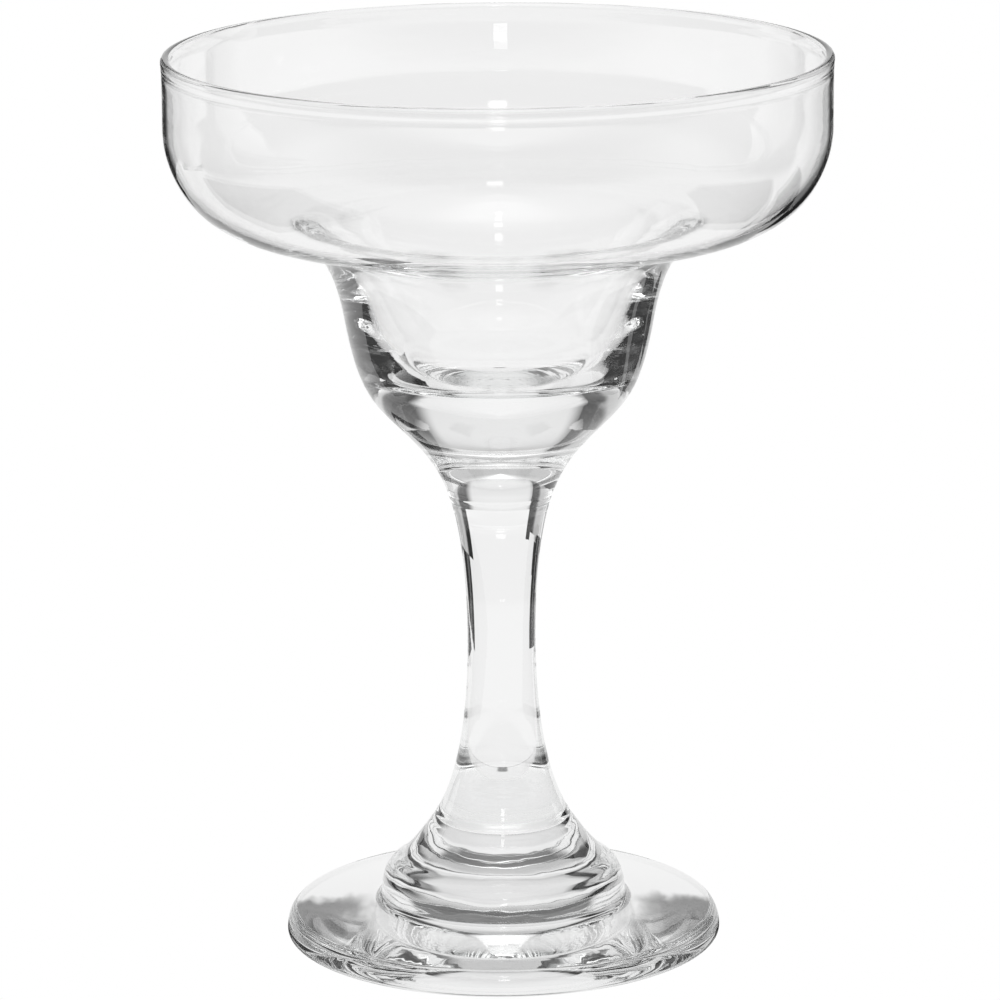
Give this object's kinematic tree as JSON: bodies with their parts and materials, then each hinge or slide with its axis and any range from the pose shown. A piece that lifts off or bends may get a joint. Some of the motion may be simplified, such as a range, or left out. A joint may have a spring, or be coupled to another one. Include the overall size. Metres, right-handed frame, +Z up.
{
  "type": "margarita glass",
  "caption": "Clear glass drinking vessel with a wide upright bowl, a small well below it, a waisted solid stem and a round foot.",
  "frame": {"origin": "centre of the foot, on the table", "axes": "+Z up along the axis of the glass"},
  "size_m": [0.11, 0.11, 0.15],
  "materials": {
    "glass": "clear soda-lime glass, fire polished"
  },
  "bodies": {
    "root": {"foot": "glass", "stem": "glass", "bowl": "glass"}
  },
  "joints": []
}
